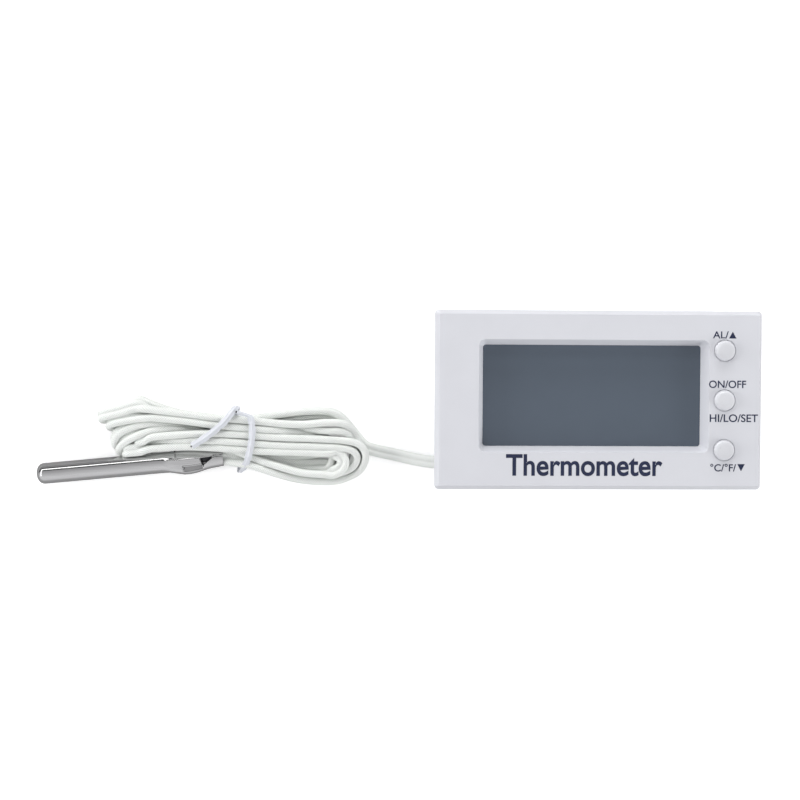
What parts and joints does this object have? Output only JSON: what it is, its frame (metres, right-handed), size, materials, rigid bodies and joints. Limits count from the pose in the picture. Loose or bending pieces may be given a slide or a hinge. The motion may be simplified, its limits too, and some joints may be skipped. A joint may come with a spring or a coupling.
{
  "type": "digital panel thermometer with remote probe",
  "caption": "White digital thermometer with a blank display, round push buttons, a snap-in panel body and a steel probe on a braided cord tied in a hank.",
  "frame": {"origin": "centre of the case's flat back face, on the plane that the case, the hank and the probe lie on", "axes": "+Z out of the display, +X towards the push buttons, +Y towards the top of the display"},
  "size_m": [0.1715, 0.0423, 0.0193],
  "materials": {
    "case_white": "fine satin moulded ABS",
    "button_white": "satin moulded ABS",
    "lcd_glass": "clear glass",
    "lcd_film": "dark grey polarising film, semi-gloss",
    "lcd_reflector": "satin reflector film",
    "white_plastic": "matt moulded plastic",
    "zebra": "striped elastomer",
    "board_green": "glass-epoxy laminate with solder mask",
    "black_plastic": "matt black plastic",
    "epoxy_black": "glossy epoxy",
    "tin": "tinned metal",
    "ceramic_body": "matt ceramic",
    "brass": "plain rolled brass",
    "piezo": "silvered ceramic",
    "cell_steel": "nickel-plated steel",
    "seal_nylon": "nylon seal",
    "screw_steel": "zinc-plated steel",
    "wire_red": "PVC insulation",
    "wire_black": "PVC insulation",
    "wire_white": "PVC insulation",
    "cord_braid": "woven glass-fibre sleeve, off-white",
    "tie_white": "white plastic film on a wire",
    "probe_steel": "bright drawn stainless steel",
    "potting": "thermally conductive resin",
    "bead": "glass-coated thermistor bead"
  },
  "bodies": {
    "thermometer": {"board_screws": "screw_steel", "buzzer_ceramic": "piezo", "buzzer_disc": "brass", "case_screws": "screw_steel", "cell_a_can": "cell_steel", "cell_a_cap": "cell_steel", "cell_a_seal": "seal_nylon", "cell_b_can": "cell_steel", "cell_b_cap": "cell_steel", "cell_b_seal": "seal_nylon", "chip_blob": "epoxy_black", "chip_capacitors": "ceramic_body", "chip_resistors": "epoxy_black", "circuit_board": "board_green", "contact_negative": "tin", "contact_positive": "tin", "cord_end": "cord_braid", "cord_hank": "cord_braid", "crystal": "tin", "front_bezel": "case_white", "lcd_frame": "white_plastic", "lcd_front_glass": "lcd_glass", "lcd_front_polariser": "lcd_film", "lcd_rear_glass": "lcd_glass", "lcd_reflector": "lcd_reflector", "lead_wire_a": "wire_white", "lead_wire_b": "wire_white", "probe_cord": "cord_braid", "probe_cores": "wire_white", "probe_potting": "potting", "probe_sheath": "probe_steel", "rear_case": "case_white", "retaining_tie": "white_plastic", "switch_dome_alarm_up": "tin", "switch_dome_on_set": "tin", "switch_dome_unit_down": "tin", "switch_housing_alarm_up": "black_plastic", "switch_housing_on_set": "black_plastic", "switch_housing_unit_down": "black_plastic", "switch_legs": "tin", "switch_plate_alarm_up": "tin", "switch_plate_on_set": "tin", "switch_plate_unit_down": "tin", "thermistor_bead": "bead", "thermistor_legs": "tin", "twist_tie": "tie_white", "wire_battery_negative": "wire_black", "wire_battery_positive": "wire_red", "wire_buzzer_ceramic": "wire_red", "wire_buzzer_disc": "wire_black", "zebra_strip": "zebra"},
    "alarm_up_button": {"button_alarm_up": "button_white", "plunger_alarm_up": "black_plastic"},
    "on_set_button": {"button_on_set": "button_white", "plunger_on_set": "black_plastic"},
    "unit_down_button": {"button_unit_down": "button_white", "plunger_unit_down": "black_plastic"},
    "battery_door": {"battery_cover": "case_white", "contact_link": "tin"}
  },
  "joints": [
    {"name": "alarm_up_press", "type": "slide", "parent": "thermometer", "child": "alarm_up_button", "axis": [0, 0, -1], "range_m": [0, 0.0003], "stiffness_N_per_m": 1500, "springref_m": -0.0001, "deforming": ["switch_dome_alarm_up"]},
    {"name": "on_set_press", "type": "slide", "parent": "thermometer", "child": "on_set_button", "axis": [0, 0, -1], "range_m": [0, 0.0003], "stiffness_N_per_m": 1500, "springref_m": -0.0001, "deforming": ["switch_dome_on_set"]},
    {"name": "unit_down_press", "type": "slide", "parent": "thermometer", "child": "unit_down_button", "axis": [0, 0, -1], "range_m": [0, 0.0003], "stiffness_N_per_m": 1500, "springref_m": -0.0001, "deforming": ["switch_dome_unit_down"]},
    {"name": "battery_door_slide", "type": "slide", "parent": "thermometer", "child": "battery_door", "axis": [0, -1, 0], "range_m": [0, 0.018]}
  ]
}
